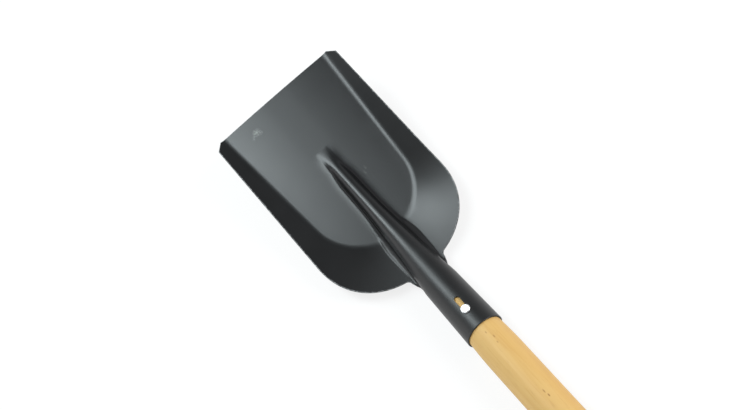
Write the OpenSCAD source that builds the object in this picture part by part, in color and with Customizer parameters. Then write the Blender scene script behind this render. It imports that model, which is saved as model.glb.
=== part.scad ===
// Transplanting spade: one pressed steel blade with a rolled socket, a turned wooden
// handle and the nail that holds the two together. The spade lies dish up on z = 0,
// with the handle level along +Y and the mouth of the blade raised at the -Y end.

/* [Blade] */
// Width of the blade across its turned-up sides
blade_w = 152; // [142:1:170]
// Length from the mouth to the notches where the blade meets the socket
blade_l = 244; // [236:1:262]
// Thickness of the steel sheet
sheet_t = 1.5; // [1:0.1:2]
// Width of the flat floor at the mouth
floor_w = 132; // [115:1:134]
// Angle by which each side of the floor turns in towards the back
floor_taper = 4.4; // [2:0.1:5]
// Length of the flat floor
floor_l = 189; // [180:1:198]
// Radius of the two rear corners of the floor
floor_corner_r = 52; // [42:1:56]
// Slope of the side walls above the floor
side_slope = 27; // [20:1:45]
// Slope of the rear wall above the floor
rear_slope = 24; // [20:1:26]
// Height by which the floor is crowned at the mouth
floor_crown = 1.4; // [0:0.1:2]
// Width of the bend between the floor and the walls
bend_w = 7; // [4:0.5:12]
// Length of the straight sides
side_l = 167; // [150:1:180]
// Power of the shoulder curve, 1 for an ellipse and less for squarer shoulders
shoulder_power = 0.88; // [0.8:0.01:1]
// Width cut off each top corner at the mouth
corner_w = 7; // [3:0.5:9]
// Length cut off each top corner at the mouth
corner_l = 8; // [3:0.5:12]
// Radius of the notches where the blade meets the socket
notch_r = 5.5; // [4:0.5:8]
// Width of the ledge between the foot of the rib and each notch
notch_ledge = 2.1; // [1.2:0.1:3]
// Angle between the floor of the blade and the handle
lift = 15.5; // [12:0.5:18]

/* [Rib] */
// Distance from the mouth to the tip of the rib
rib_start = 69; // [60:1:74]
// Least half width of the rib, at its tip
rib_tip_w = 9; // [7:0.5:11]
// Distance from the mouth at which the line of the rib's crown would meet the floor
rib_meet = 92; // [84:1:98]
// Height of the rib there, because its tip is drawn out
rib_tip_h = 2.6; // [1:0.1:3]
// Length over which the tip of the rib rises from the floor
rib_tip_l = 10; // [8:0.5:16]
// Half width of the rib along the floor
rib_w = 11.4; // [10.5:0.1:13]
// Distance from the mouth at which the rib begins to widen towards the socket
rib_widen = 150; // [140:1:160]
// Length over which it widens
rib_widen_l = 60; // [50:1:70]
// Radius of the crown of the rib at its tip
rib_tip_r = 7.2; // [6:0.1:8]
// How much tighter the crown of the rib is than the socket at the notches
rib_inset = 1.5; // [1:0.1:2.5]
// Angle by which the flanks of the rib lean outwards
rib_lean = 1.5; // [1:0.1:6]
// Radius of the fillet along the foot of the rib at the notches
neck_foot_r = 2.2; // [2:0.1:3]

/* [Socket] */
// Outside diameter of the socket at its rim
rim_d = 37.2; // [35:0.1:42]
// Outside diameter of the socket at the notches
neck_d = 33; // [30:0.1:35]
// Length of the socket from the notches to the rim
socket_l = 87; // [78:1:110]
// Length over which the sheet closes round into a tube
wrap_l = 24; // [18:1:30]
// Gap left open along the seam under the socket
seam_gap = 1; // [0.6:0.1:2]
// Width of the nail slot
slot_w = 5; // [4:0.1:6]
// Length of the nail slot between the centres of its round ends
slot_l = 13.4; // [8:0.1:16]

/* [Handle] */
// Diameter of the handle
handle_d = 36; // [34:0.5:40]
// Length of the handle
handle_l = 650; // [300:10:1200]
// Length of the handle inside the socket
tenon_l = 60; // [50:1:62]
// Length outside the socket over which the handle swells to its full diameter
swell_l = 32; // [20:1:50]
// Rounding at the free end of the handle
end_r = 12; // [6:0.5:16]
// Clearance between the handle and the socket
tenon_gap = 0.12; // [0.08:0.01:0.3]

/* [Nail] */
// Distance of the nail from the rim of the socket
nail_inset = 19.5; // [18:0.5:30]
// Diameter of the head of the nail
nail_head_d = 8.6; // [7:0.1:11]
// Height of the head of the nail
nail_head_h = 1.7; // [1:0.1:3]
// Diameter of the shank of the nail
nail_d = 4; // [3:0.1:4.5]
// Length of the shank of the nail below the head
nail_l = 26; // [18:1:30]
// Length of the point of the nail
nail_point_l = 6; // [3:0.5:10]
// Clearance round the shank and under the head
nail_gap = 0.03; // [0.02:0.01:0.1]

/* [Hidden] */

// Segments for round surfaces
round_fn = 96;
// Counts of strips across half the sheet: crown, flank, foot of the rib, floor, bend, wall
crown_n = 6;
flank_n = 1;
foot_n = 3;
floor_n = 3;
bend_n = 4;
wall_n = 3;
rib_n = crown_n + flank_n + foot_n;
half_n = rib_n + floor_n + bend_n + wall_n;
// Counts of sections along the sheet
cut_n = 2;
front_n = 4;
tip_n = 5;
side_n = 11;
shoulder_n = 13;
notch_n = 4;
wrap_n = 6;
tube_n = 3;
// Power by which the crown of the rib widens, and the one by which its flanks turn upright
crown_power = 3;
flank_power = 8;
// Least length of the flanks of the rib
flank_l = 0.3;
// Angle through which the notches turn
notch_turn = 70;
// Least and greatest share of a half section, beside the rib, up to each end of the bend
bend_start_least = 0.2;
bend_start_most = 0.7;
bend_least = 0.1;
bend_end_most = 0.85;
// Least distance from a corner's centre at which the direction to a point is taken
centre_least = 0.001;
// Length of the cut edge at the inner end of the handle
tip_cut = 3;
// Share of the nail head's height that its edge is rounded by
head_edge = 0.6;

rim_r = rim_d / 2;
neck_r = neck_d / 2;
rib_neck_r = neck_r - rib_inset;
half_w = blade_w / 2;
bend_e = bend_w / 2;

function mix(a, b, t) = a + (b - a) * t;
function smooth(t) = let (u = min(max(t, 0), 1)) u * u * (3 - 2 * u);

// Heel: the lowest point of the floor, where the bend to the rear wall turns level
heel_y = floor_l - bend_e + bend_w * tan(lift) / tan(rear_slope);
heel_z = bend_e * tan(lift) * tan(lift) / tan(rear_slope);
// Height of the floor's own origin, at the mouth, when heel and rim both touch the ground
mouth_z = heel_y * sin(lift) - heel_z * cos(lift) + sheet_t;
// The socket's axis: its height over the ground, and over the floor at the notches
axis_z = rim_r;
neck_z = (axis_z - mouth_z + blade_l * sin(lift)) / cos(lift);
// Places along the handle, from the mouth's lower edge, and the offset that centres the spade
neck_y = blade_l * cos(lift) + neck_z * sin(lift);
rim_y = neck_y + socket_l;
tenon_y = rim_y - tenon_l;
end_y = tenon_y + handle_l;
mouth_y = sheet_t * sin(lift);
centre_y = (end_y - mouth_y) / 2;
nail_y = rim_y - nail_inset;

// A point of the blade, given over its floor, as a point over the ground
function on_ground(p) = [
  p.x,
  p.y * cos(lift) + p.z * sin(lift),
  mouth_z - p.y * sin(lift) + p.z * cos(lift)
];

// Outside radius of the socket at a distance along the handle
function socket_r(y) = mix(neck_r, rim_r, (y - neck_y) / socket_l);

// Floor and walls of the blade
function floor_half(y) = floor_w / 2 - y * tan(floor_taper);
function corner_x(x, y) = abs(x) - (floor_half(y) - floor_corner_r);
function corner_y(y) = y - (floor_l - floor_corner_r);
// Distance of a point outside the floor's outline, negative inside it
function off_floor(x, y) =
  let (u = corner_x(x, y), v = corner_y(y))
  norm([max(u, 0), max(v, 0)]) + min(max(u, v), 0) - floor_corner_r;
// The slope turns from that of the side walls to that of the rear wall round the corner
function wall_tan(x, y) =
  let (turn = atan2(max(corner_y(y), 0), max(corner_x(x, y), centre_least)) / 90)
  mix(tan(side_slope), tan(rear_slope), smooth(turn));
function bend(d) = d < -bend_e ? 0 : d > bend_e ? d : pow(d + bend_e, 2) / (4 * bend_e);
function floor_z(x, y) =
  floor_crown * max(1 - y / floor_l, 0) * max(1 - pow(x / floor_half(y), 2), 0);
function pan_z(x, y) = wall_tan(x, y) * bend(off_floor(x, y)) + floor_z(x, y);
// Half width at which the row of points at y is a distance d off the floor's outline
function row_x(y, d) =
  let (v = max(corner_y(y), 0), r = floor_corner_r + d)
  floor_half(y) - floor_corner_r + (r > v ? sqrt(r * r - v * v) : 0);

// The rib carries the line of the socket's top on, until it dies away in the floor
socket_cone = atan((rim_r - neck_r) / socket_l);
crown_rise = lift + socket_cone;
neck_top = neck_z + neck_r * cos(socket_cone) / cos(crown_rise);
function rib_t(y) = max(y - rib_start, 0) / (blade_l - rib_start);
function crown_z(y) =
  let (
    run = blade_l - rib_meet,
    t = (y - rib_meet) / run,
    line = mix(2 * neck_top - tan(crown_rise) * run, neck_top, t) * t
  )
  (line + norm([line, 2 * rib_tip_h])) / 2 * smooth((y - rib_start) / rib_tip_l);
function crown_r(y) = mix(rib_tip_r, rib_neck_r, pow(rib_t(y), crown_power));
// Radii of crown and foot together, which is the half width where the flanks are upright
function both_r(y) = mix(rib_w, rib_neck_r + neck_foot_r, smooth((y - rib_widen) / rib_widen_l));
function foot_r(y) = both_r(y) - crown_r(y);
// Slope of the flanks where the rib is high enough for it, upright where the socket begins
function flank_slope(y) = 90 - rib_lean * (1 - pow(rib_t(y), flank_power));
// Flank angle, foot height, flank length and half width of the rib's section at y
function rib_section(y) =
  let (
    r = both_r(y),
    foot = pan_z(r + foot_r(y), y),
    rise = max(crown_z(y) - foot, 0),
    slope = min(flank_slope(y), acos(max(1 - rise / r, -1))),
    flank = slope > 1 ? max(rise - r * (1 - cos(slope)), 0) / sin(slope) : 0,
    length = max(flank, flank_l)
  )
  [slope, foot, length, r * sin(slope) + length * cos(slope)];
// Points of the rib's section from the crown out to its foot
function rib_points(y) =
  let (
    s = rib_section(y),
    slope = s[0],
    foot = s[1],
    half = s[3],
    rc = crown_r(y),
    rf = foot_r(y),
    top = foot + both_r(y) * (1 - cos(slope)) + s[2] * sin(slope),
    spare = max(rib_tip_w - half, 0)
  )
  [
    for (j = [0 : rib_n])
      let (
        a = slope * min(j / crown_n, 1),
        b = slope * max(rib_n - j, 0) / foot_n,
        p = j <= crown_n
          ? [rc * sin(a), top - rc * (1 - cos(a))]
          : [half - rf * sin(b), foot + rf * (1 - cos(b))]
      )
      [p.x + spare * j / rib_n, y, p.y]
  ];

// Outline of the blade as [half width, distance from the mouth] pairs
notch_x = rib_neck_r + neck_foot_r + notch_ledge;
shoulder_x = notch_x + notch_r * (1 - cos(notch_turn));
shoulder_y = blade_l - notch_r * sin(notch_turn);
shoulder_end = acos(pow(shoulder_x / half_w, 1 / shoulder_power));
shoulder_h = (shoulder_y - side_l) / pow(sin(shoulder_end), shoulder_power);
outline = [
  for (i = [0 : cut_n]) [half_w - corner_w * (1 - i / cut_n), corner_l * i / cut_n],
  for (i = [1 : front_n]) [half_w, mix(corner_l, rib_start, i / front_n)],
  for (i = [1 : tip_n]) [half_w, rib_start + rib_tip_l * pow(i / tip_n, 2)],
  for (i = [1 : side_n]) [half_w, mix(rib_start + rib_tip_l, side_l, i / side_n)],
  for (i = [1 : shoulder_n])
    let (a = shoulder_end * i / shoulder_n)
      [half_w * pow(cos(a), shoulder_power), side_l + shoulder_h * pow(sin(a), shoulder_power)],
  for (i = [1 : notch_n])
    let (b = notch_turn * (1 - i / notch_n))
      [notch_x + notch_r * (1 - cos(b)), blade_l - notch_r * sin(b)]
];

// One half section of the blade, from the middle out to the edge
function blade_half(edge) =
  let (
    y = edge[1],
    w = edge[0],
    rib = rib_points(y),
    b = rib[rib_n].x,
    span = w - b,
    x1 = min(max(row_x(y, -bend_e), b + span * bend_start_least), b + span * bend_start_most),
    x2 = min(max(row_x(y, bend_e), x1 + span * bend_least), b + span * bend_end_most),
    xs = [
      for (j = [1 : floor_n]) mix(b, x1, j / floor_n),
      for (j = [1 : bend_n]) mix(x1, x2, j / bend_n),
      for (j = [1 : wall_n]) mix(x2, w, j / wall_n)
    ]
  )
  [for (p = rib) on_ground(p), for (x = xs) on_ground([x, y, pan_z(x, y)])];

// One half section of the neck, which closes from the notches into a tube: each point goes
// its own way along, from its place at the notches, by a share of the way and of the closing
neck_half = blade_half(outline[len(outline) - 1]);
wrap_y = neck_y + wrap_l;
function tube_point(j, y, share) =
  let (
    from = neck_half[j],
    height = from.z - axis_z,
    r = socket_r(y),
    last = 180 - asin(seam_gap / 2 / r),
    to = j <= crown_n ? 90 * j / crown_n : mix(90, last, (j - crown_n) / (half_n - crown_n)),
    rho = mix(norm([from.x, height]), r, share),
    turn = mix(atan2(from.x, height), to, share)
  )
  [rho * sin(turn), y, axis_z + rho * cos(turn)];
function wrap_half(t) =
  [for (j = [0 : half_n]) tube_point(j, mix(neck_half[j].y, wrap_y, t), smooth(t))];
function tube_half(y) = [for (j = [0 : half_n]) tube_point(j, y, 1)];

// All half sections from the mouth to the rim, mirrored to whole ones
halves = [
  for (edge = outline) blade_half(edge),
  for (i = [1 : wrap_n]) wrap_half(i / wrap_n),
  for (i = [1 : tube_n]) tube_half(mix(wrap_y, rim_y, i / tube_n))
];
upper = [
  for (h = halves)
    [for (j = [half_n : -1 : 1]) [-h[j].x, h[j].y, h[j].z], for (j = [0 : half_n]) h[j]]
];
rows = len(upper);
columns = 2 * half_n + 1;

// The underside lies one sheet thickness below, square to the surface
function unit(v) = v / norm(v);
function normal_at(i, j) =
  let (
    along = upper[min(i + 1, rows - 1)][j] - upper[max(i - 1, 0)][j],
    across = upper[i][min(j + 1, columns - 1)] - upper[i][max(j - 1, 0)]
  )
  unit(cross(across, along));
lower = [
  for (i = [0 : rows - 1])
    [for (j = [0 : columns - 1]) upper[i][j] - sheet_t * normal_at(i, j)]
];

module sheet() {
  count = rows * columns;
  function at(i, j) = i * columns + j;
  function quad(a, b, c, d) = [[a, b, c], [a, c, d]];
  top = [
    for (i = [0 : rows - 2], j = [0 : columns - 2])
      each quad(at(i, j), at(i + 1, j), at(i + 1, j + 1), at(i, j + 1))
  ];
  under = [for (f = top) [f[2] + count, f[1] + count, f[0] + count]];
  rim = concat(
    [for (j = [0 : columns - 1]) at(0, j)],
    [for (i = [1 : rows - 1]) at(i, columns - 1)],
    [for (j = [columns - 2 : -1 : 0]) at(rows - 1, j)],
    [for (i = [rows - 2 : -1 : 1]) at(i, 0)]
  );
  edge = [
    for (k = [0 : len(rim) - 1])
      let (a = rim[k], b = rim[(k + 1) % len(rim)])
        each quad(a, b, b + count, a + count)
  ];
  polyhedron(
    points = concat([for (r = upper) each r], [for (r = lower) each r]),
    faces = concat(top, under, edge)
  );
}

// The nail slot, from the nail towards the blade, open through the top of the socket only
module nail_slot() {
  for (dy = [0, -slot_l])
    translate([0, nail_y + dy, axis_z]) cylinder(d = slot_w, h = rim_d, $fn = round_fn);
  translate([-slot_w / 2, nail_y - slot_l, axis_z]) cube([slot_w, slot_l, rim_d]);
}

module blade() {
  color([0.09, 0.09, 0.1])
    translate([0, -centre_y, 0])
      difference() {
        sheet();
        nail_slot();
      }
}

// The handle's outline as [radius, distance from its tip] pairs
module handle_profile() {
  function bore_r(s) = socket_r(tenon_y + s) - sheet_t - tenon_gap;
  handle_r = handle_d / 2;
  swell = [
    for (t = [0 : 1 / 8 : 1])
      [mix(bore_r(tenon_l), handle_r, sin(90 * t)), tenon_l + swell_l * t]
  ];
  dome = [
    for (a = [0 : 10 : 90]) [handle_r - end_r * (1 - cos(a)), handle_l - end_r * (1 - sin(a))]
  ];
  tip = [[0, 0], [bore_r(0) - tip_cut, 0], [bore_r(tip_cut), tip_cut]];
  polygon(concat(tip, swell, dome, [[0, handle_l]]));
}

// Height at which the underside of the nail's head rests on the socket
nail_seat_z = axis_z + socket_r(nail_y + nail_head_d / 2) + nail_gap;

module handle() {
  color([0.86, 0.7, 0.45])
    translate([0, -centre_y, 0])
      difference() {
        translate([0, tenon_y, axis_z]) rotate([-90, 0, 0])
          rotate_extrude($fn = round_fn) handle_profile();
        translate([0, nail_y, nail_seat_z - nail_l])
          cylinder(d = nail_d + 2 * nail_gap, h = nail_l + rim_d, $fn = round_fn);
        translate([0, nail_y, nail_seat_z - nail_l - nail_point_l])
          cylinder(d1 = 0, d2 = nail_d + 2 * nail_gap, h = nail_point_l, $fn = round_fn);
      }
}

// A flat-topped round head with a soft edge, over a plain shank with a point
module fixing_nail() {
  head_r = nail_head_d / 2;
  edge_r = nail_head_h * head_edge;
  color([0.9, 0.9, 0.9])
    translate([0, nail_y - centre_y, nail_seat_z])
      rotate_extrude($fn = round_fn)
        polygon(concat(
          [[0, -nail_l - nail_point_l], [nail_d / 2, -nail_l], [nail_d / 2, 0], [head_r, 0]],
          [
            for (a = [0 : 15 : 90])
              [head_r - edge_r * (1 - cos(a)), nail_head_h - edge_r * (1 - sin(a))]
          ],
          [[0, nail_head_h]]
        ));
}

blade();
handle();
fixing_nail();
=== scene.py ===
"""Dress the transplanting spade: fine meshes, finishes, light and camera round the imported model.

Sizes are real ones in millimetres and angles are in degrees, unless a name or a docstring says
otherwise. Meshes are written in metres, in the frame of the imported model: the spade lies dish up on
z = 0 with its handle level along +Y.
"""

from __future__ import annotations

import logging
import math
from dataclasses import dataclass
from enum import Enum, IntEnum
from typing import Any, ClassVar, Sequence

import bmesh
import bpy
import numpy as np
from bpy.types import ID, Material, Mesh, Modifier, Node, NodeSocket, NodeTree, Object
from mathutils import Matrix, Vector

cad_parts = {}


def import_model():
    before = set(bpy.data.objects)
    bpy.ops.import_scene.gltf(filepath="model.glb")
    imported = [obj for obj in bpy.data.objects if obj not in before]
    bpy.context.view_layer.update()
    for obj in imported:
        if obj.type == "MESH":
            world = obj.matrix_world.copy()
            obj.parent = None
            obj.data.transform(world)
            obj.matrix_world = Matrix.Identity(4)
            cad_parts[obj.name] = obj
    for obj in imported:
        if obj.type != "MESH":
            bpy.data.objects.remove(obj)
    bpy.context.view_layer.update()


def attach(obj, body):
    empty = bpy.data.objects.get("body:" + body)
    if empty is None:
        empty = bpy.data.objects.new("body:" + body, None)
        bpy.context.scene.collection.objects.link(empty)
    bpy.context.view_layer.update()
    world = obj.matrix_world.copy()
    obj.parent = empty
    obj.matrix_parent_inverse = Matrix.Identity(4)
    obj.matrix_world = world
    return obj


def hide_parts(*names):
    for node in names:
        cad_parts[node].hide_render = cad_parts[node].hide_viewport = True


LOG = logging.getLogger("spade")
MM = 0.001
TINY = 0.001
WHITE = "#ffffff"
BODY = "root"
EDGE_WEAR = "edge_wear"
TURNED_RADIUS = "turned_radius"
Pair = tuple[float, float]
Triple = tuple[float, float, float]


class Slot(Enum):
    """Material slots of the record."""

    STEEL = "painted_steel"
    WOOD = "varnished_wood"
    ZINC = "bright_zinc"


class MixSocket(IntEnum):
    """Sockets of a Mix node that blends two colours."""

    FACTOR = 0
    FIRST = 6
    SECOND = 7
    RESULT = 2


def linear(code: str) -> tuple[float, float, float, float]:
    """Turn an sRGB hex colour into linear light.

    Args:
        code: The colour as "#rrggbb".

    Returns:
        Linear red, green and blue, and an alpha of one.
    """
    shares = [int(code[i : i + 2], 16) / 255 for i in (1, 3, 5)]
    light = [s / 12.92 if s <= 0.04045 else ((s + 0.055) / 1.055) ** 2.4 for s in shares]
    return (light[0], light[1], light[2], 1.0)


def per_metre(size: float) -> float:
    """Return the pattern scale, per metre, of a feature that is so many millimetres wide."""
    return 1.0 / (size * MM)


def mix(first: Any, second: Any, share: Any) -> Any:
    """Blend two values, numbers or arrays, by a share."""
    return first + (second - first) * share


def smooth(share: Any) -> Any:
    """Ease a share in and out, between nought and one."""
    held = np.clip(share, 0.0, 1.0)
    return held * held * (3.0 - 2.0 * held)


def unit(vectors: np.ndarray) -> np.ndarray:
    """Scale the last axis of an array to vectors of length one."""
    return vectors / np.linalg.norm(vectors, axis=-1, keepdims=True)


def add_node(tree: NodeTree, kind: str, inputs: dict | Sequence = (), **settings: Any) -> Node:
    """Add a node, set it up and link it.

    Args:
        tree: Tree that gets the node.
        kind: Blender's name for the kind of node.
        inputs: What goes into its sockets, in their order or by their names or numbers: a value, an
            output to link, or a node, which stands for its first output.
        settings: Properties of the node.

    Returns:
        The new node.
    """
    node = tree.nodes.new(kind)
    for name, value in settings.items():
        setattr(node, name, value)
    pairs = inputs.items() if isinstance(inputs, dict) else enumerate(inputs)
    for key, value in pairs:
        source = value.outputs[0] if isinstance(value, Node) else value
        if isinstance(source, NodeSocket):
            tree.links.new(source, node.inputs[key])
        else:
            node.inputs[key].default_value = source
    return node


def new_material(name: str) -> tuple[Material, NodeTree]:
    """Make a material with an empty tree.

    Args:
        name: Name of the material.

    Returns:
        The material and its node tree.
    """
    material = bpy.data.materials.new(name)
    material.use_nodes = True
    material.node_tree.nodes.clear()
    return material, material.node_tree


def lay_colours(tree: NodeTree, ground: str, coats: Sequence[tuple[Any, str]]) -> NodeSocket:
    """Lay colours over a ground, one after another.

    Args:
        tree: Tree of the finish.
        ground: Colour under all the others.
        coats: Masks, each with the colour that it lets in.

    Returns:
        The colour that is seen.
    """
    colour: Any = linear(ground)
    for mask, code in coats:
        sockets = {MixSocket.FACTOR: mask, MixSocket.FIRST: colour, MixSocket.SECOND: linear(code)}
        colour = add_node(tree, "ShaderNodeMix", sockets, data_type="RGBA").outputs[MixSocket.RESULT]
    return colour


def close_finish(tree: NodeTree, relief: Node, depth: float, strength: float, sockets: dict) -> None:
    """End a finish with its fine relief and its shader.

    Args:
        tree: Tree of the finish.
        relief: Pattern of the relief.
        depth: Depth of the relief.
        strength: How much of the relief shows, from 0 to 1.
        sockets: Inputs of the shader, apart from its normal.
    """
    raised = {"Strength": strength, "Distance": depth * MM, "Height": relief}
    bump = add_node(tree, "ShaderNodeBump", raised)
    shader = add_node(tree, "ShaderNodeBsdfPrincipled", {**sockets, "Normal": bump})
    add_node(tree, "ShaderNodeOutputMaterial", {"Surface": shader})


def add_object(name: str, data: ID) -> Object:
    """Put an object into the scene at the origin.

    Args:
        name: Name of the object.
        data: Its mesh, in metres, or its light or camera.

    Returns:
        The new object.
    """
    thing = bpy.data.objects.new(name, data)
    bpy.context.scene.collection.objects.link(thing)
    return thing


def settle(thing: Object, modifier: Modifier) -> None:
    """Turn an object with one modifier into a plain mesh.

    Args:
        thing: Object to evaluate.
        modifier: Its modifier, which is removed.
    """
    bpy.context.view_layer.update()
    depsgraph = bpy.context.evaluated_depsgraph_get()
    mesh = bpy.data.meshes.new_from_object(thing.evaluated_get(depsgraph), depsgraph=depsgraph)
    mesh.name = thing.name
    thing.modifiers.remove(modifier)
    thing.data = mesh


def cut_away(thing: Object, cutter: Object) -> None:
    """Cut one closed mesh out of another for good, and delete the cutter.

    Args:
        thing: Object that loses the overlap.
        cutter: Object that is cut out.
    """
    cut = thing.modifiers.new("cut", "BOOLEAN")
    cut.operation = "DIFFERENCE"
    cut.solver = "EXACT"
    cut.object = cutter
    settle(thing, cut)
    bpy.data.objects.remove(cutter)


def hand_over(thing: Object, node: str) -> None:
    """Let a finished piece stand for its node, and report it.

    Args:
        thing: Finished piece.
        node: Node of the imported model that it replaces.
    """
    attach(thing, BODY)
    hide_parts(node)
    LOG.info("%s: %d faces in place of %s", thing.name, len(thing.data.polygons), node)


@dataclass(frozen=True)
class Spot:
    """A small mark on a finish: its centre, its half sizes, how strong it is and its even core."""

    centre: Triple
    reach: Triple
    strength: float
    core: float = 0.35

    def mask(self, tree: NodeTree, place: NodeSocket) -> Node:
        """Draw the mark as a soft ellipsoid.

        Args:
            tree: Tree of the finish.
            place: Object coordinates.

        Returns:
            The mark's strength in its core, which fades to nought at its edge.
        """
        scale = [per_metre(size) for size in self.reach]
        shift = [-middle / size for middle, size in zip(self.centre, self.reach)]
        inside = add_node(tree, "ShaderNodeMapping", {"Vector": place, "Location": shift, "Scale": scale})
        distance = add_node(tree, "ShaderNodeVectorMath", (inside,), operation="LENGTH").outputs["Value"]
        fade = (distance, self.core, 1.0, self.strength, 0.0)
        return add_node(tree, "ShaderNodeMapRange", fade, interpolation_type="SMOOTHSTEP")


@dataclass(frozen=True)
class Pattern:
    """An uneven pattern: width and length of its features, octaves of finer ones, and their waver."""

    width: float
    length: float
    detail: float
    waver: float = 0.0

    def draw(self, tree: NodeTree, place: NodeSocket) -> Node:
        """Draw the pattern at its real size, its length along the handle.

        Args:
            tree: Tree of the finish.
            place: Object coordinates.

        Returns:
            A noise from nought to one.
        """
        scale = [per_metre(size) for size in (self.width, self.length, self.width)]
        drawn = add_node(tree, "ShaderNodeMapping", {"Vector": place, "Scale": scale})
        noise = {"Vector": drawn, "Scale": 1.0, "Detail": self.detail, "Distortion": self.waver}
        return add_node(tree, "ShaderNodeTexNoise", noise)


@dataclass(frozen=True)
class Grain:
    """A layer of wood grain: its pattern, the levels between which it shows, its share and colour."""

    pattern: Pattern
    levels: Pair
    share: float
    colour: str


@dataclass(frozen=True)
class StovedBlackPaint:
    """Satin black paint, dipped and baked on pressed sheet steel."""

    deep: str = "#0d0e0f"
    pale: str = "#131416"
    steel: str = "#8e9192"
    scuffed: str = "#8b908c"
    ior: float = 1.52
    # Drifting gloss, which dulls between two places along the handle
    cloud: Pattern = Pattern(34.0, 34.0, 3.0)
    cloud_levels: Pair = (0.3, 0.7)
    smoothest: float = 0.28
    roughest: float = 0.31
    dull: float = 0.11
    dull_start: float = -290.0
    dull_end: float = -215.0
    # Orange peel
    peel: Pattern = Pattern(1.2, 1.2, 2.0)
    peel_depth: float = 0.002
    peel_strength: float = 0.3
    # Edges that are rubbed through to the steel
    wear: Pattern = Pattern(1.8, 1.8, 4.0)
    wear_levels: Pair = (0.38, 0.62)
    wear_share: float = 0.7
    # Light scuffs on the floor of the blade
    scuff: Pattern = Pattern(1.6, 1.6, 5.0)
    scuff_levels: Pair = (0.36, 0.60)
    scuff_rough: float = 0.3
    scuffs: tuple[Spot, ...] = (
        Spot((35.8, -444.2, 46.8), (6.0, 5.6, 4.0), 0.8),
        Spot((32.9, -440.9, 46.1), (3.2, 3.2, 3.0), 0.45),
        Spot((40.4, -442.5, 46.3), (2.4, 2.6, 3.0), 0.45),
        Spot((42.4, -440.3, 45.7), (2.2, 2.4, 3.0), 0.3),
        Spot((-21.0, -345.3, 19.7), (1.4, 3.2, 3.0), 0.16),
        Spot((-17.8, -341.8, 19.0), (1.4, 3.2, 3.0), 0.16),
    )

    def build(self) -> Material:
        """Build the finish.

        Returns:
            A near-black paint whose soft gloss drifts a little over the sheet and dulls towards the
            socket, with a faint orange peel, a few light scuffs, and thin grey edges where the paint
            is rubbed through.
        """
        material, tree = new_material("stoved_black_paint")
        place = add_node(tree, "ShaderNodeTexCoord").outputs["Object"]
        cloud = self.cloud.draw(tree, place)
        scuff = self._scuff_mask(tree, place)
        near_edge = add_node(tree, "ShaderNodeAttribute", attribute_name=EDGE_WEAR).outputs["Fac"]
        worn = (near_edge, self.wear.draw(tree, place))
        worn = add_node(tree, "ShaderNodeMath", worn, operation="MULTIPLY")
        bare = add_node(tree, "ShaderNodeMapRange", (worn, *self.wear_levels, 0.0, self.wear_share))
        coats = [(cloud, self.pale), (scuff, self.scuffed), (bare, self.steel)]
        colour = lay_colours(tree, self.deep, coats)
        gloss = (cloud, *self.cloud_levels, self.smoothest, self.roughest)
        gloss = add_node(tree, "ShaderNodeMapRange", gloss)
        along = add_node(tree, "ShaderNodeSeparateXYZ", (place,)).outputs["Y"]
        dull = (along, self.dull_start * MM, self.dull_end * MM, 0.0, self.dull)
        dull = add_node(tree, "ShaderNodeMapRange", dull, interpolation_type="SMOOTHSTEP")
        gloss = add_node(tree, "ShaderNodeMath", (gloss, dull), operation="ADD")
        rough = (scuff, self.scuff_rough, gloss)
        rough = add_node(tree, "ShaderNodeMath", rough, operation="MULTIPLY_ADD")
        sockets = {"Base Color": colour, "Roughness": rough, "IOR": self.ior}
        close_finish(tree, self.peel.draw(tree, place), self.peel_depth, self.peel_strength, sockets)
        return material

    def _scuff_mask(self, tree: NodeTree, place: NodeSocket) -> Node:
        """Gather the scuffs into one mask, broken up by their own pattern.

        Args:
            tree: Tree of the finish.
            place: Object coordinates.

        Returns:
            The strength of all scuffs.
        """
        rubbed = (self.scuff.draw(tree, place), *self.scuff_levels, 0.0, 1.0)
        rubbed = add_node(tree, "ShaderNodeMapRange", rubbed)
        total: Any = 0.0
        for spot in self.scuffs:
            both = (spot.mask(tree, place), total)
            total = add_node(tree, "ShaderNodeMath", both, operation="MAXIMUM")
        return add_node(tree, "ShaderNodeMath", (total, rubbed), operation="MULTIPLY")


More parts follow.
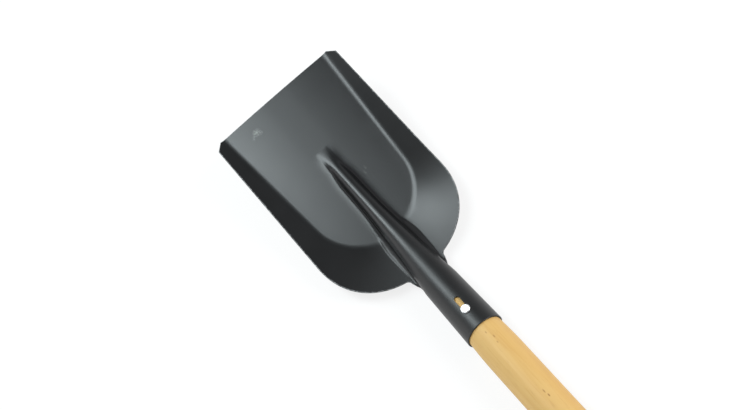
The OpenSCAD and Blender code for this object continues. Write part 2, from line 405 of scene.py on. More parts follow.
@dataclass(frozen=True)
class VarnishedAsh:
    """Pale hardwood, turned round, sanded and clear varnished."""

    ground: str = "#caa565"
    bands: Grain = Grain(Pattern(9.0, 150.0, 2.0, 0.4), (0.35, 0.7), 0.9, "#c49b58")
    streaks: Grain = Grain(Pattern(2.6, 70.0, 4.0, 0.4), (0.5, 0.75), 0.5, "#bb8e4b")
    # Real pores are about a third as wide and wouldn't show, so they are drawn coarser
    pores: Grain = Grain(Pattern(0.8, 12.0, 2.0, 0.4), (0.62, 0.74), 0.3, "#ac824a")
    pore_depth: float = 0.04
    pore_strength: float = 0.35
    ior: float = 1.5
    smoothest: float = 0.58
    roughest: float = 0.70
    varnish: float = 0.06
    varnish_rough: float = 0.35
    knot: str = "#84521f"
    knots: tuple[Spot, ...] = (
        Spot((0.6, -119.5, 36.5), (0.8, 2.0, 2.0), 0.5),
        Spot((-2.4, -111.7, 36.5), (0.8, 2.4, 2.0), 0.55),
        Spot((-1.3, -105.4, 36.5), (0.8, 1.7, 2.0), 0.4),
        Spot((-2.3, -44.4, 36.6), (0.8, 2.8, 2.0), 0.65),
        Spot((-3.1, -39.0, 36.5), (0.9, 2.2, 2.0), 0.8),
    )

    def build(self) -> Material:
        """Build the finish.

        Returns:
            A pale yellow wood with broad soft bands, finer streaks and short open pores, all running
            along the handle, a few brown pin knots, and the soft shine of thin varnish.
        """
        material, tree = new_material("varnished_ash")
        place = add_node(tree, "ShaderNodeTexCoord").outputs["Object"]
        layers = (self.bands, self.streaks, self.pores)
        bands, streaks, pores = [layer.pattern.draw(tree, place) for layer in layers]
        coats = []
        for layer, noise in zip(layers, (bands, streaks, pores)):
            shown = (noise, *layer.levels, 0.0, layer.share)
            shown = add_node(tree, "ShaderNodeMapRange", shown, interpolation_type="SMOOTHSTEP")
            coats.append((shown, layer.colour))
        coats += [(spot.mask(tree, place), self.knot) for spot in self.knots]
        rough = (streaks, 0.0, 1.0, self.smoothest, self.roughest)
        sockets = {
            "Base Color": lay_colours(tree, self.ground, coats),
            "Roughness": add_node(tree, "ShaderNodeMapRange", rough),
            "IOR": self.ior,
            "Coat Weight": self.varnish,
            "Coat Roughness": self.varnish_rough,
        }
        close_finish(tree, pores, self.pore_depth, self.pore_strength, sockets)
        return material


@dataclass(frozen=True)
class BrightZinc:
    """Bright zinc plating on a wire nail, whose head was struck flat."""

    bright: str = "#f6f7f8"
    dull: str = "#dfe2e4"
    mottle: Pattern = Pattern(1.6, 1.6, 3.0)
    smoothest: float = 0.26
    roughest: float = 0.42
    strike: Pattern = Pattern(0.7, 0.7, 2.0)
    strike_depth: float = 0.02
    strike_strength: float = 0.2

    def build(self) -> Material:
        """Build the finish.

        Returns:
            A very pale metal, a little mottled, with a fine uneven surface from striking.
        """
        material, tree = new_material("bright_zinc_plate")
        place = add_node(tree, "ShaderNodeTexCoord").outputs["Object"]
        mottle = self.mottle.draw(tree, place)
        rough = (mottle, 0.0, 1.0, self.smoothest, self.roughest)
        sockets = {
            "Base Color": lay_colours(tree, self.bright, [(mottle, self.dull)]),
            "Metallic": 1.0,
            "Roughness": add_node(tree, "ShaderNodeMapRange", rough),
        }
        strike = self.strike.draw(tree, place)
        close_finish(tree, strike, self.strike_depth, self.strike_strength, sockets)
        return material


@dataclass(frozen=True)
class PaleFloor:
    """A plain white studio floor."""

    colour: str = "#f4f4f4"
    white_share: float = 0.8
    white_rays: tuple[str, ...] = ("Is Camera Ray", "Is Glossy Ray", "Is Transmission Ray")

    def build(self) -> Material:
        """Build the finish.

        Returns:
            A matt white that the eye and mirrors see as nearly pure white, with the spade's shadow.
        """
        material, tree = new_material("white_studio_floor")
        path = add_node(tree, "ShaderNodeLightPath").outputs
        seen: Any = 0.0
        for ray in self.white_rays:
            seen = add_node(tree, "ShaderNodeMath", (path[ray], seen), operation="MAXIMUM")
        share = add_node(tree, "ShaderNodeMath", (seen, self.white_share), operation="MULTIPLY")
        matt = add_node(tree, "ShaderNodeBsdfDiffuse", {"Color": linear(self.colour)})
        white = add_node(tree, "ShaderNodeEmission", {"Strength": 1.0})
        shader = add_node(tree, "ShaderNodeMixShader", (share, matt, white))
        add_node(tree, "ShaderNodeOutputMaterial", {"Surface": shader})
        return material


@dataclass(frozen=True)
class SpadeFrame:
    """Sizes that the blade, the handle and the nail share, and the places worked out from them."""

    blade_l: float = 244.0
    sheet_t: float = 1.5
    floor_l: float = 189.0
    rear_slope: float = 24.0
    bend_w: float = 7.0
    lift: float = 15.5
    rim_d: float = 37.2
    neck_d: float = 33.0
    socket_l: float = 87.0
    handle_l: float = 650.0
    tenon_l: float = 60.0
    nail_inset: float = 19.5

    @property
    def lift_sin(self) -> float:
        """Sine of the angle between the blade's floor and the handle."""
        return math.sin(math.radians(self.lift))

    @property
    def lift_cos(self) -> float:
        """Cosine of the angle between the blade's floor and the handle."""
        return math.cos(math.radians(self.lift))

    @property
    def mouth_z(self) -> float:
        """Height of the floor at the mouth.

        Returns:
            The height at which heel and socket rim both touch the ground.
        """
        lift_tan = self.lift_sin / self.lift_cos
        rear_tan = math.tan(math.radians(self.rear_slope))
        heel_y = self.floor_l - self.bend_w / 2 + self.bend_w * lift_tan / rear_tan
        heel_z = self.bend_w / 2 * lift_tan**2 / rear_tan
        return heel_y * self.lift_sin - heel_z * self.lift_cos + self.sheet_t

    @property
    def axis_z(self) -> float:
        """Height of the handle's axis over the ground."""
        return self.rim_d / 2

    @property
    def neck_z(self) -> float:
        """Height of the handle's axis over the blade's floor at the notches."""
        return (self.axis_z - self.mouth_z + self.blade_l * self.lift_sin) / self.lift_cos

    @property
    def neck_y(self) -> float:
        """Distance of the notches along the handle."""
        return self.blade_l * self.lift_cos + self.neck_z * self.lift_sin

    @property
    def rim_y(self) -> float:
        """Distance of the socket's rim along the handle."""
        return self.neck_y + self.socket_l

    @property
    def tenon_y(self) -> float:
        """Distance of the handle's inner end."""
        return self.rim_y - self.tenon_l

    @property
    def nail_y(self) -> float:
        """Distance of the nail."""
        return self.rim_y - self.nail_inset

    @property
    def centre_y(self) -> float:
        """Distance of the middle of the whole spade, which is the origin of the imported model."""
        return (self.tenon_y + self.handle_l - self.sheet_t * self.lift_sin) / 2

    @property
    def socket_cone(self) -> float:
        """Angle at which the socket widens towards its rim, in radians."""
        return math.atan((self.rim_d - self.neck_d) / 2 / self.socket_l)

    def socket_r(self, y: Any) -> Any:
        """Return the outside radius of the socket at a distance along the handle."""
        return mix(self.neck_d / 2, self.rim_d / 2, (y - self.neck_y) / self.socket_l)

    def in_metres(self, points: Sequence | np.ndarray) -> np.ndarray:
        """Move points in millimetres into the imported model's frame, in metres."""
        return (np.asarray(points) - (0.0, self.centre_y, 0.0)) * MM


@dataclass
class PressedBlade:
    """The blade with its rib and socket, one pressing of sheet steel."""

    frame: SpadeFrame
    # Outline, floor and sides
    blade_w: float = 152.0
    floor_w: float = 132.0
    floor_taper: float = 4.4
    floor_corner_r: float = 52.0
    floor_crown: float = 1.4
    side_slope: float = 27.0
    side_l: float = 167.0
    shoulder_power: float = 0.88
    corner_w: float = 7.0
    corner_l: float = 8.0
    notch_r: float = 5.5
    notch_turn: float = 70.0
    notch_ledge: float = 2.1
    # Rib and the sweep of the floor up to its foot
    rib_start: float = 69.0
    rib_tip_w: float = 9.0
    rib_meet: float = 92.0
    rib_tip_h: float = 2.6
    rib_tip_l: float = 10.0
    rib_w: float = 11.4
    rib_widen: float = 150.0
    rib_widen_l: float = 60.0
    rib_tip_r: float = 7.2
    rib_inset: float = 1.5
    rib_lean: float = 1.5
    neck_foot_r: float = 2.2
    sweep_w: float = 4.0
    sweep_h: float = 0.3
    sweep_l: float = 20.0
    crown_power: float = 3.0
    flank_power: float = 8.0
    flank_l: float = 0.3
    flank_sine: float = 0.017
    # Socket, slot and edge
    wrap_l: float = 24.0
    seam_gap: float = 1.0
    slot_w: float = 5.0
    slot_l: float = 13.4
    edge_round: float = 0.4
    wear_reach: float = 1.6
    sharp_angle: float = 50.0
    # Least and greatest shares of a half section at which the bend begins and ends
    bend_from: Pair = (0.2, 0.7)
    bend_to: Pair = (0.1, 0.85)
    # Spacing and numbers of the strips that the sheet is drawn with
    floor_spread: float = 1.8
    crown_n: int = 18
    flank_n: int = 3
    foot_n: int = 9
    floor_n: int = 9
    bend_n: int = 12
    wall_n: int = 9
    cut_n: int = 10
    front_n: int = 16
    tip_n: int = 20
    side_n: int = 44
    shoulder_n: int = 60
    notch_n: int = 16
    wrap_n: int = 24
    tube_n: int = 12
    edge_n: int = 3
    slot_n: int = 32

    @property
    def rib_n(self) -> int:
        """Strips across half of the rib."""
        return self.crown_n + self.flank_n + self.foot_n

    @property
    def half_n(self) -> int:
        """Strips across half of the sheet."""
        return self.rib_n + self.floor_n + self.bend_n + self.wall_n

    @property
    def neck_r(self) -> float:
        """Outside radius of the socket at the notches."""
        return self.frame.neck_d / 2

    def _floor_half(self, y: float) -> float:
        """Half width of the floor at a distance from the mouth."""
        return self.floor_w / 2 - y * math.tan(math.radians(self.floor_taper))

    def _corner(self, x: Any, y: float) -> tuple[Any, float]:
        """Distances across and along from the centre of the floor's rear corner, positive in it."""
        across = np.abs(x) - (self._floor_half(y) - self.floor_corner_r)
        return across, y - (self.frame.floor_l - self.floor_corner_r)

    def pan_z(self, x: Any, y: float) -> Any:
        """Height of the floor or wall over the floor's plane.

        Args:
            x: Distance from the middle.
            y: Distance from the mouth.

        Returns:
            The height, which follows a rounded bend at the outline of the floor.
        """
        across, along = self._corner(x, y)
        outside = np.hypot(np.maximum(across, 0.0), max(along, 0.0))
        off = outside + np.minimum(np.maximum(across, along), 0.0) - self.floor_corner_r
        turn = np.arctan2(max(along, 0.0), np.maximum(across, TINY)) / (math.pi / 2)
        side = math.tan(math.radians(self.side_slope))
        rear = math.tan(math.radians(self.frame.rear_slope))
        half = self.frame.bend_w / 2
        bent = np.where(off > half, off, np.maximum(off + half, 0.0) ** 2 / (4.0 * half))
        crown = self.floor_crown * max(1.0 - y / self.frame.floor_l, 0.0)
        crown = crown * np.maximum(1.0 - (x / self._floor_half(y)) ** 2, 0.0)
        return mix(side, rear, smooth(turn)) * bent + crown

    def _row_x(self, y: float, off: float) -> float:
        """Half width at which a row lies a distance off the floor's outline."""
        across, along = self._corner(0.0, y)
        return math.sqrt(max((self.floor_corner_r + off) ** 2 - max(along, 0.0) ** 2, 0.0)) - float(across)

    def _rib_height(self, y: float) -> Pair:
        """Height and share of the rib.

        Args:
            y: Distance from the mouth.

        Returns:
            The height of its crown over the floor, and how far along the rib this is, from 0 to 1.
        """
        past = max(y - self.rib_start, 0.0)
        cone = self.frame.socket_cone
        rise = math.radians(self.frame.lift) + cone
        top = self.frame.neck_z + self.neck_r * math.cos(cone) / math.cos(rise)
        run = self.frame.blade_l - self.rib_meet
        along = (y - self.rib_meet) / run
        line = mix(2.0 * top - math.tan(rise) * run, top, along) * along
        height = (line + math.hypot(line, 2.0 * self.rib_tip_h)) / 2.0
        return height * float(smooth(past / self.rib_tip_l)), past / (self.frame.blade_l - self.rib_start)

    def _widened(self, y: float) -> float:
        """How far the rib has widened into the socket at a distance from the mouth, from 0 to 1."""
        return float(smooth((y - self.rib_widen) / self.rib_widen_l))

    def _sweep(self, y: float) -> float:
        """How far the floor sweeps up to the rib's foot, from 0 at its nose and socket to 1 between."""
        begun = smooth((y - self.rib_start - self.rib_tip_l / 2) / self.sweep_l)
        return float(begun * (1.0 - self._widened(y)))

    def _rib_points(self, y: float) -> np.ndarray:
        """Half section of the rib: a round crown, a straight flank and a foot fillet.

        Args:
            y: Distance from the mouth.

        Returns:
            Rows of distance from the middle and height, from the crown to the foot.
        """
        height, share = self._rib_height(y)
        crown_r = mix(self.rib_tip_r, self.neck_r - self.rib_inset, share**self.crown_power)
        both = mix(self.rib_w, self.neck_r - self.rib_inset + self.neck_foot_r, self._widened(y))
        foot_r = both - crown_r
        swept = self.sweep_h * self._sweep(y)
        tilt = math.atan(2.0 * swept / self.sweep_w)
        foot = float(self.pan_z(both + foot_r, y)) + swept - foot_r * (1.0 - math.cos(tilt))
        rise = max(height - foot, 0.0)
        lean = self.rib_lean * (1.0 - share**self.flank_power)
        slope = min(math.radians(90.0 - lean), math.acos(max(1.0 - rise / both, -1.0)))
        flank = max(rise - both * (1.0 - math.cos(slope)), 0.0) / max(math.sin(slope), self.flank_sine)
        flank = max(flank, self.flank_l)
        half = both * math.sin(slope) + flank * math.cos(slope)
        top = foot + both * (1.0 - math.cos(slope)) + flank * math.sin(slope)
        turn = slope * np.linspace(0.0, 1.0, self.crown_n + 1)
        crown = np.stack([crown_r * np.sin(turn), top - crown_r * (1.0 - np.cos(turn))], axis=1)
        turn = mix(slope, min(tilt, slope), np.linspace(0.0, 1.0, self.foot_n + 1))
        fillet = np.stack([half - foot_r * np.sin(turn), foot + foot_r * (1.0 - np.cos(turn))], axis=1)
        steps = np.linspace(0.0, 1.0, self.flank_n + 1)[1:-1, None]
        points = np.concatenate([crown, mix(crown[-1], fillet[0], steps), fillet])
        spare = max(self.rib_tip_w - half, 0.0)
        points[:, 0] += spare * np.arange(self.rib_n + 1) / self.rib_n
        return points

    def _outline(self) -> list[Pair]:
        """Outline of one half of the blade.

        Returns:
            Pairs of half width and distance from the mouth, up to the notch.
        """
        half = self.blade_w / 2
        turn = math.radians(self.notch_turn)
        notch_x = self.neck_r - self.rib_inset + self.neck_foot_r + self.notch_ledge
        shoulder_x = notch_x + self.notch_r * (1.0 - math.cos(turn))
        shoulder_y = self.frame.blade_l - self.notch_r * math.sin(turn)
        power = self.shoulder_power
        last = math.acos((shoulder_x / half) ** (1.0 / power))
        rise = (shoulder_y - self.side_l) / math.sin(last) ** power
        tip_end = self.rib_start + self.rib_tip_l
        cut = np.linspace(0.0, 1.0, self.cut_n + 1)
        points = [(half - self.corner_w * (1.0 - t), self.corner_l * t) for t in cut]
        points += [(half, y) for y in np.linspace(self.corner_l, self.rib_start, self.front_n + 1)[1:]]
        tip = np.linspace(0.0, 1.0, self.tip_n + 1)[1:]
        points += [(half, self.rib_start + self.rib_tip_l * t * t) for t in tip]
        points += [(half, y) for y in np.linspace(tip_end, self.side_l, self.side_n + 1)[1:]]
        for angle in np.linspace(0.0, last, self.shoulder_n + 1)[1:]:
            points.append((half * math.cos(angle) ** power, self.side_l + rise * math.sin(angle) ** power))
        for angle in np.linspace(turn, 0.0, self.notch_n + 1)[1:]:
            x = notch_x + self.notch_r * (1.0 - math.cos(angle))
            points.append((x, self.frame.blade_l - self.notch_r * math.sin(angle)))
        return points

    def _blade_half(self, width: float, y: float) -> np.ndarray:
        """One half section of the blade, from the middle out to the edge.

        Args:
            width: Half width of the outline here.
            y: Distance from the mouth.

        Returns:
            Points over the ground.
        """
        rib = self._rib_points(y)
        inner = rib[-1, 0]
        span = width - inner
        bend = self.frame.bend_w / 2
        least, most = self.bend_from
        x1 = min(max(self._row_x(y, -bend), inner + span * least), inner + span * most)
        least, most = self.bend_to
        x2 = min(max(self._row_x(y, bend), x1 + span * least), inner + span * most)
        spread = mix(1.0, self.floor_spread, self._sweep(y))
        floor = mix(inner, x1, np.linspace(0.0, 1.0, self.floor_n + 1)[1:] ** spread)
        turned = np.linspace(x1, x2, self.bend_n + 1)[1:]
        wall = mix(x2, width, 1.0 - np.linspace(1.0, 0.0, self.wall_n + 1)[1:] ** 2)
        xs = np.concatenate([floor, turned, wall])
        x = np.concatenate([rib[:, 0], xs])
        foot = rib[-1, 1] - self.pan_z(inner, y)
        swept = foot * np.maximum(1.0 - (xs - inner) / self.sweep_w, 0.0) ** 2
        z = np.concatenate([rib[:, 1], self.pan_z(xs, y) + self._sweep(y) * swept])
        along = y * self.frame.lift_cos + z * self.frame.lift_sin
        up = self.frame.mouth_z - y * self.frame.lift_sin + z * self.frame.lift_cos
        return np.stack([x, along, up], axis=1)

    def _tube_half(self, neck: np.ndarray, y: Any, share: float) -> np.ndarray:
        """One half section of the neck or socket.

        Args:
            neck: The blade's last half section.
            y: Distance along the handle, of the whole section or of each point.
            share: How far the sheet has closed into a tube, from 0 to 1.

        Returns:
            Points over the ground.
        """
        height = neck[:, 2] - self.frame.axis_z
        radius = self.frame.socket_r(y)
        last = math.pi - np.arcsin(self.seam_gap / 2 / radius)
        index = np.arange(self.half_n + 1)
        crown = math.pi / 2 * index / self.crown_n
        wrapped = mix(math.pi / 2, last, (index - self.crown_n) / (self.half_n - self.crown_n))
        target = np.where(index <= self.crown_n, crown, wrapped)
        rho = mix(np.hypot(neck[:, 0], height), radius, share)
        turn = mix(np.arctan2(neck[:, 0], height), target, share)
        along = np.broadcast_to(y, rho.shape)
        return np.stack([rho * np.sin(turn), along, self.frame.axis_z + rho * np.cos(turn)], axis=1)

    def upper_side(self) -> np.ndarray:
        """The whole upper and outer side of the sheet.

        Returns:
            A grid of points, rows from the mouth to the rim and columns from side to side.
        """
        halves = [self._blade_half(width, y) for width, y in self._outline()]
        neck = halves[-1]
        wrap_y = self.frame.neck_y + self.wrap_l
        for share in np.linspace(0.0, 1.0, self.wrap_n + 1)[1:]:
            halves.append(self._tube_half(neck, mix(neck[:, 1], wrap_y, share), float(smooth(share))))
        stations = list(np.linspace(wrap_y, self.frame.rim_y, self.tube_n + 1)[1:])
        stations.insert(-1, self.frame.rim_y - self.edge_round)
        halves += [self._tube_half(neck, y, 1.0) for y in stations]
        grid = np.stack(halves)
        mirrored = grid[:, :0:-1] * (-1.0, 1.0, 1.0)
        return np.concatenate([mirrored, grid], axis=1)

    def _edge_wear(self, grid: np.ndarray) -> np.ndarray:
        """How near each point of the sheet is to an edge that rubs, which the socket's rim doesn't.

        Args:
            grid: The upper side.

        Returns:
            One at the edge, falling to nought over the reach of the wear.
        """
        across = np.cumsum(np.linalg.norm(np.diff(grid, axis=1), axis=2), axis=1)
        across = np.pad(across, ((0, 0), (1, 0)))
        along = np.cumsum(np.linalg.norm(np.diff(grid, axis=0), axis=2), axis=0)
        along = np.pad(along, ((1, 0), (0, 0)))
        near = np.minimum(across, across[:, -1:] - across)
        near = np.minimum(near, along)
        return np.clip(1.0 - near / self.wear_reach, 0.0, 1.0)

    def _edge_rings(self, upper: np.ndarray, normal: np.ndarray, rim: np.ndarray) -> list[np.ndarray]:
        """Round the edge of the sheet.

        Args:
            upper: The upper side.
            normal: Its normals.
            rim: Numbers of the points along its edge.

        Returns:
            Rings of points from the upper side's edge round to the underside's.
        """
        outward = np.zeros_like(upper)
        for edge, inner in ((0, 1), (-1, -2)):
            outward[edge] += unit(upper[edge] - upper[inner])
            outward[:, edge] += unit(upper[:, edge] - upper[:, inner])
        out =outward.reshape(-1, 3)[rim]
        up = normal.reshape(-1, 3)[rim]
        out = unit(out - np.sum(out * up, axis=1, keepdims=True) * up)
        half = self.frame.sheet_t / 2
        middle = upper.reshape(-1, 3)[rim] - half * up
        angles = [math.pi * step / (self.edge_n + 1) for step in range(1, self.edge_n + 1)]
        return [middle + half * math.cos(a) * up + self.edge_round * math.sin(a) * out for a in angles]

    def mesh(self) -> Mesh:
        """Close the sheet with its underside and a rounded edge.

        Returns:
            The closed mesh, in metres, with the wear of its edges as an attribute.
        """
        upper = self.upper_side()
        rows, columns = upper.shape[:2]
        count = rows * columns
        normal = unit(np.cross(np.gradient(upper, axis=1), np.gradient(upper, axis=0)))
        lower = upper - self.frame.sheet_t * normal
        index = np.arange(count).reshape(rows, columns)
        rim = np.concatenate([index[0], index[1:, -1], index[-1, -2::-1], index[-2:0:-1, 0]])
        rings = self._edge_rings(upper, normal, rim)
        points = np.concatenate([upper.reshape(-1, 3), lower.reshape(-1, 3), *rings])
        corners = [index[:-1, :-1], index[:-1, 1:], index[1:, 1:], index[1:, :-1]]
        top = np.stack(corners, axis=-1).reshape(-1, 4)
        faces = [top, top[:, ::-1] + count]
        loops = [rim]
        loops += [2 * count + step * len(rim) + np.arange(len(rim)) for step in range(self.edge_n)]
        loops.append(rim + count)
        for first, second in zip(loops, loops[1:]):
            faces.append(np.stack([np.roll(first, -1), first, second, np.roll(second, -1)], axis=1))
        mesh = bpy.data.meshes.new("blade_sheet")
        mesh.from_pydata(self.frame.in_metres(points).tolist(), [], np.concatenate(faces).tolist())
        wear = self._edge_wear(upper).reshape(-1)
        values = np.concatenate([wear, wear, np.tile(wear[rim], self.edge_n)])
        attribute = mesh.attributes.new(EDGE_WEAR, "FLOAT", "POINT")
        attribute.data.foreach_set("value", values.astype(np.float32))
        mesh.shade_smooth()
        return mesh

    def slot_cutter(self) -> Object:
        """Make the round-ended bar that cuts the nail slot.

        Returns:
            The cutter, which stands on the handle's axis and reaches past the top of the socket.
        """
        turns = np.linspace(-math.pi / 2, math.pi / 2, self.slot_n + 1)
        radius = self.slot_w / 2
        near = [(radius * math.sin(t), self.frame.nail_y + radius * math.cos(t)) for t in turns]
        far = [(-x, 2 * self.frame.nail_y - self.slot_l - y) for x, y in near]
        shape = bmesh.new()
        ring = [shape.verts.new(self.frame.in_metres((x, y, self.frame.axis_z))) for x, y in near + far]
        face = shape.faces.new(ring)
        pulled = bmesh.ops.extrude_face_region(shape, geom=[face])
        lifted = [part for part in pulled["geom"] if isinstance(part, bmesh.types.BMVert)]
        bmesh.ops.translate(shape, verts=lifted, vec=(0.0, 0.0, self.frame.rim_d * MM))
        bmesh.ops.recalc_face_normals(shape, faces=shape.faces)
        mesh = bpy.data.meshes.new("slot_cutter")
        shape.to_mesh(mesh)
        shape.free()
        return add_object("slot_cutter", mesh)

    def build(self, paint: Material) -> None:
        """Build the blade, cut its slot and paint it.

        Args:
            paint: Finish of the steel.
        """
        blade = add_object("pressed_blade", self.mesh())
        cut_away(blade, self.slot_cutter())
        blade.data.set_sharp_from_angle(angle=math.radians(self.sharp_angle))
        blade.data.materials.clear()
        blade.data.materials.append(paint)
        hand_over(blade, "blade")


class Lathe:
    """A Geometry Nodes tree that turns a row of stations on an axis into a round piece."""

    def __init__(self) -> None:
        """Build the tree once for all turned pieces."""
        self.tree = tree = bpy.data.node_groups.new("turned_on_an_axis", "GeometryNodeTree")
        face = tree.interface
        face.new_socket("Axis", in_out="INPUT", socket_type="NodeSocketGeometry")
        self.sides = face.new_socket("Sides", in_out="INPUT", socket_type="NodeSocketInt").identifier
        self.finish = face.new_socket("Finish", in_out="INPUT", socket_type="NodeSocketMaterial").identifier
        face.new_socket("Piece", in_out="OUTPUT", socket_type="NodeSocketGeometry")
        given = add_node(tree, "NodeGroupInput").outputs
        named = {"Name": TURNED_RADIUS}
        radius = add_node(tree, "GeometryNodeInputNamedAttribute", named, data_type="FLOAT")
        axis = add_node(tree, "GeometryNodeMeshToCurve", {"Mesh": given["Axis"]})
        circle = {"Resolution": given["Sides"], "Radius": 1.0}
        ring = add_node(tree, "GeometryNodeCurvePrimitiveCircle", circle)
        swept = {"Curve": axis, "Profile Curve": ring, "Scale": radius, "Fill Caps": True}
        skin = add_node(tree, "GeometryNodeCurveToMesh", swept)
        real = add_node(tree, "GeometryNodeRealizeInstances", {"Geometry": skin})
        dressed = {"Geometry": real, "Material": given["Finish"]}
        piece = add_node(tree, "GeometryNodeSetMaterial", dressed)
        add_node(tree, "NodeGroupOutput", {"Piece": piece})

    def turn(
        self, name: str, axis: np.ndarray, radii: Sequence[float], sides: int, finish: Material
    ) -> Object:
        """Turn one piece.

        Args:
            name: Name of the piece.
            axis: Stations on its axis, in metres.
            radii: Radius at each station, in millimetres.
            sides: Sides of the round.
            finish: Its material.

        Returns:
            The piece, as a plain closed mesh.
        """
        line = bpy.data.meshes.new(name + "_axis")
        line.from_pydata(axis.tolist(), [(i, i + 1) for i in range(len(axis) - 1)], [])
        attribute = line.attributes.new(TURNED_RADIUS, "FLOAT", "POINT")
        attribute.data.foreach_set("value", (np.asarray(radii) * MM).astype(np.float32))
        piece = add_object(name, line)
        turning = piece.modifiers.new("turning", "NODES")
        turning.node_group = self.tree
        turning[self.sides] = sides
        turning[self.finish] = finish
        settle(piece, turning)
        shape = bmesh.new()
        shape.from_mesh(piece.data)
        bmesh.ops.remove_doubles(shape, verts=shape.verts, dist=TINY * MM)
        bmesh.ops.recalc_face_normals(shape, faces=shape.faces)
        shape.to_mesh(piece.data)
        shape.free()
        piece.data.shade_smooth()
        return piece


@dataclass
class Handle:
    """The turned wooden handle, tapered into the socket and rounded at its free end."""

    frame: SpadeFrame
    handle_d: float = 36.0
    swell_l: float = 32.0
    end_r: float = 12.0
    tip_cut: float = 3.0
    tenon_gap: float = 0.12
    sides: int = 144
    swell_n: int = 24
    shaft_n: int = 40
    dome_n: int = 18

    def _bore_r(self, along: float) -> float:
        """Radius that fits the socket at a distance from the handle's inner end."""
        return self.frame.socket_r(self.frame.tenon_y + along) - self.frame.sheet_t - self.tenon_gap

    def stations(self) -> list[Pair]:
        """Outline of the handle.

        Returns:
            Pairs of distance from its inner end and radius.
        """
        length = self.frame.handle_l
        tenon_l = self.frame.tenon_l
        full = self.handle_d / 2
        points = [(0.0, self._bore_r(0.0) - self.tip_cut), (self.tip_cut, self._bore_r(self.tip_cut))]
        for t in np.linspace(0.0, 1.0, self.swell_n + 1):
            swell = mix(self._bore_r(tenon_l), full, math.sin(math.pi / 2 * t))
            points.append((tenon_l + self.swell_l * t, swell))
        shaft = np.linspace(tenon_l + self.swell_l, length - self.end_r, self.shaft_n + 1)[1:-1]
        points += [(along, full) for along in shaft]
        for turn in np.linspace(0.0, math.pi / 2, self.dome_n + 1):
            away = self.end_r * (1.0 - math.sin(turn))
            points.append((length - away, full - self.end_r * (1.0 - math.cos(turn))))
        return points

    def build(self, lathe: Lathe, wood: Material) -> None:
        """Turn the handle and dress it.

        Args:
            lathe: The turning tree.
            wood: Finish of the wood.
        """
        steps, radii = zip(*self.stations())
        axis = [(0.0, self.frame.tenon_y + along, self.frame.axis_z) for along in steps]
        handle = lathe.turn("turned_handle", self.frame.in_metres(axis), radii, self.sides, wood)
        hand_over(handle, "handle")


@dataclass
class FixingNail:
    """The nail that holds the handle in the socket."""

    frame: SpadeFrame
    head_d: float = 8.6
    head_h: float = 1.7
    head_edge: float = 0.6
    shank_d: float = 4.0
    shank_l: float = 26.0
    point_l: float = 6.0
    point_r: float = 0.05
    seat_gap: float = 0.03
    sharp_angle: float = 40.0
    sides: int = 72
    edge_n: int = 10

    def stations(self) -> list[Pair]:
        """Outline of the nail.

        Returns:
            Pairs of height over the seat of its head and radius, from the point up.
        """
        head_r = self.head_d / 2
        shank_r = self.shank_d / 2
        edge_r = self.head_h * self.head_edge
        points = [(-self.shank_l - self.point_l, self.point_r), (-self.shank_l, shank_r)]
        points += [(0.0, shank_r), (0.0, head_r)]
        for turn in np.linspace(0.0, math.pi / 2, self.edge_n + 1):
            away = edge_r * (1.0 - math.sin(turn))
            points.append((self.head_h - away, head_r - edge_r * (1.0 - math.cos(turn))))
        return points

    def build(self, lathe: Lathe, zinc: Material) -> None:
        """Turn the nail and dress it.

        Args:
            lathe: The turning tree.
            zinc: Finish of the nail.
        """
        heights, radii = zip(*self.stations())
        seat = self.frame.axis_z + self.frame.socket_r(self.frame.nail_y + self.head_d / 2) + self.seat_gap
        axis = [(0.0, self.frame.nail_y, seat + height) for height in heights]
        nail = lathe.turn("wire_nail", self.frame.in_metres(axis), radii, self.sides, zinc)
        nail.data.set_sharp_from_angle(angle=math.radians(self.sharp_angle))
        hand_over(nail, "fixing_nail")


@dataclass(frozen=True)
class Softbox:
    """A flat light that faces the point it is aimed at, its long side along the handle.

    Places and sizes are in metres, and a radiance of one is that of a white surface.
    """

    name: str
    aim: Triple
    direction: Triple
    distance: float
    size: Pair
    radiance: float
    turn: float = 0.0
    colour: str = WHITE

    def hang(self) -> None:
        """Put the light into the scene, unseen by the camera."""
        lamp = bpy.data.lights.new(self.name, "AREA")
        lamp.shape = "RECTANGLE"
        lamp.size, lamp.size_y = self.size
        lamp.energy = self.radiance * math.pi * self.size[0] * self.size[1]
        lamp.color = linear(self.colour)[:3]
        away = Vector(self.direction).normalized()
        across = (Vector((1.0, 0.0, 0.0)) - away * away.x).normalized()
        turned = Matrix((across, away.cross(across), away)).transposed().to_4x4()
        turned = turned @ Matrix.Rotation(math.radians(self.turn), 4, "Z")
        light = add_object(self.name, lamp)
        light.matrix_world = Matrix.Translation(Vector(self.aim) + away * self.distance) @ turned
        light.visible_camera = False


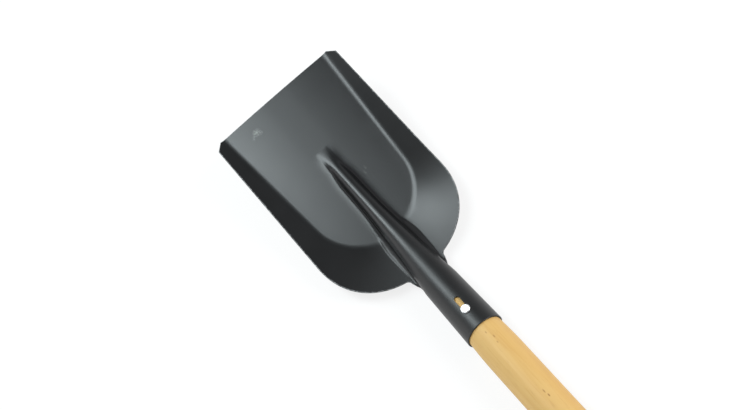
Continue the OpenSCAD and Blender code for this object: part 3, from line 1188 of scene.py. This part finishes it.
@dataclass
class Studio:
    """White floor, pale cove and three softboxes: a key, a wider weaker one behind it, and a fill."""

    # In metres, as the softboxes are
    blade_middle: ClassVar[Triple] = (0.0, -0.30, 0.02)
    spade_middle: ClassVar[Triple] = (0.0, 0.0, 0.02)
    daylight: ClassVar[str] = "#f0fcff"
    floor_size: float = 9.0
    floor_n: int = 4
    softboxes: tuple[Softbox, ...] = (
        Softbox(
            name="key_softbox",
            aim=blade_middle,
            direction=(0.257, -0.442, 0.859),
            distance=1.35,
            size=(0.38, 1.17),
            radiance=6.8,
            turn=9.0,
            colour=daylight,
        ),
        Softbox(
            name="key_rim_softbox",
            aim=blade_middle,
            direction=(0.148, -0.405, 0.902),
            distance=1.4,
            size=(0.71, 1.67),
            radiance=2.3,
            colour=daylight,
        ),
        Softbox(
            name="fill_softbox",
            aim=spade_middle,
            direction=(-0.75, 0.35, 0.56),
            distance=1.6,
            size=(1.0, 1.0),
            radiance=7.0,
        ),
    )
    # Light of the cove: along the horizon on both sides, and overhead
    near_horizon: float = 1.31
    far_horizon: float = 0.54
    horizon_span: float = 0.6
    ceiling: float = 0.225
    fade_start: float = 15.0
    fade_end: float = 41.0

    def build(self, floor_finish: Material) -> None:
        """Build the floor, the lights and the cove.

        Args:
            floor_finish: Finish of the floor.
        """
        shape = bmesh.new()
        half = self.floor_size / 2
        bmesh.ops.create_grid(shape, x_segments=self.floor_n, y_segments=self.floor_n, size=half)
        mesh = bpy.data.meshes.new("studio_floor")
        shape.to_mesh(mesh)
        shape.free()
        mesh.materials.append(floor_finish)
        add_object("studio_floor", mesh)
        for softbox in self.softboxes:
            softbox.hang()
        self._light_cove()

    def _light_cove(self) -> None:
        """Light the world as a pale cove, brighter on one side and dim overhead."""
        world = bpy.data.worlds.new("pale_cove")
        world.use_nodes = True
        tree = world.node_tree
        tree.nodes.clear()
        sky = add_node(tree, "ShaderNodeTexCoord").outputs["Generated"]
        axes = add_node(tree, "ShaderNodeSeparateXYZ", (sky,)).outputs
        span = self.horizon_span
        horizon = (axes["X"], -span, span, self.far_horizon, self.near_horizon)
        horizon = add_node(tree, "ShaderNodeMapRange", horizon)
        fade = [math.sin(math.radians(angle)) for angle in (self.fade_start, self.fade_end)]
        glow = (axes["Z"], *fade, horizon, self.ceiling)
        glow = add_node(tree, "ShaderNodeMapRange", glow, interpolation_type="SMOOTHSTEP")
        cove = add_node(tree, "ShaderNodeBackground", {"Color": linear(WHITE), "Strength": glow})
        add_node(tree, "ShaderNodeOutputWorld", {"Surface": cove})
        bpy.context.scene.world = world


@dataclass
class PhotoCamera:
    """The camera at the photograph's place, in metres and degrees."""

    place: Triple = (0.03354, 0.36909, 1.01141)
    aim: Triple = (-0.00343, -0.30525, 0.0188)
    roll: float = -38.611
    lens: float = 60.873
    sensor: float = 36.0

    def build(self) -> None:
        """Put the camera into the scene."""
        forward = (Vector(self.aim) - Vector(self.place)).normalized()
        level = forward.cross(Vector((0.0, 0.0, 1.0))).normalized()
        upright = level.cross(forward)
        turn = math.radians(self.roll)
        right = level * math.cos(turn) + upright * math.sin(turn)
        up = upright * math.cos(turn) - level * math.sin(turn)
        axes = Matrix((right, up, -forward)).transposed().to_4x4()
        data = bpy.data.cameras.new("photo_camera")
        data.lens = self.lens
        data.sensor_width = self.sensor
        camera = add_object("photo_camera", data)
        camera.matrix_world = Matrix.Translation(Vector(self.place)) @ axes
        bpy.context.scene.camera = camera


def main() -> None:
    """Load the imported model, dress it, light it and look at it."""
    logging.basicConfig(level=logging.INFO, format="%(message)s")
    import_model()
    bpy.context.scene.view_settings.view_transform = "Standard"
    frame = SpadeFrame()
    lathe = Lathe()
    PhotoCamera().build()
    PressedBlade(frame).build(StovedBlackPaint().build())
    Handle(frame).build(lathe, VarnishedAsh().build())
    FixingNail(frame).build(lathe, BrightZinc().build())
    Studio().build(PaleFloor().build())


if __name__ == "__main__":
    main()
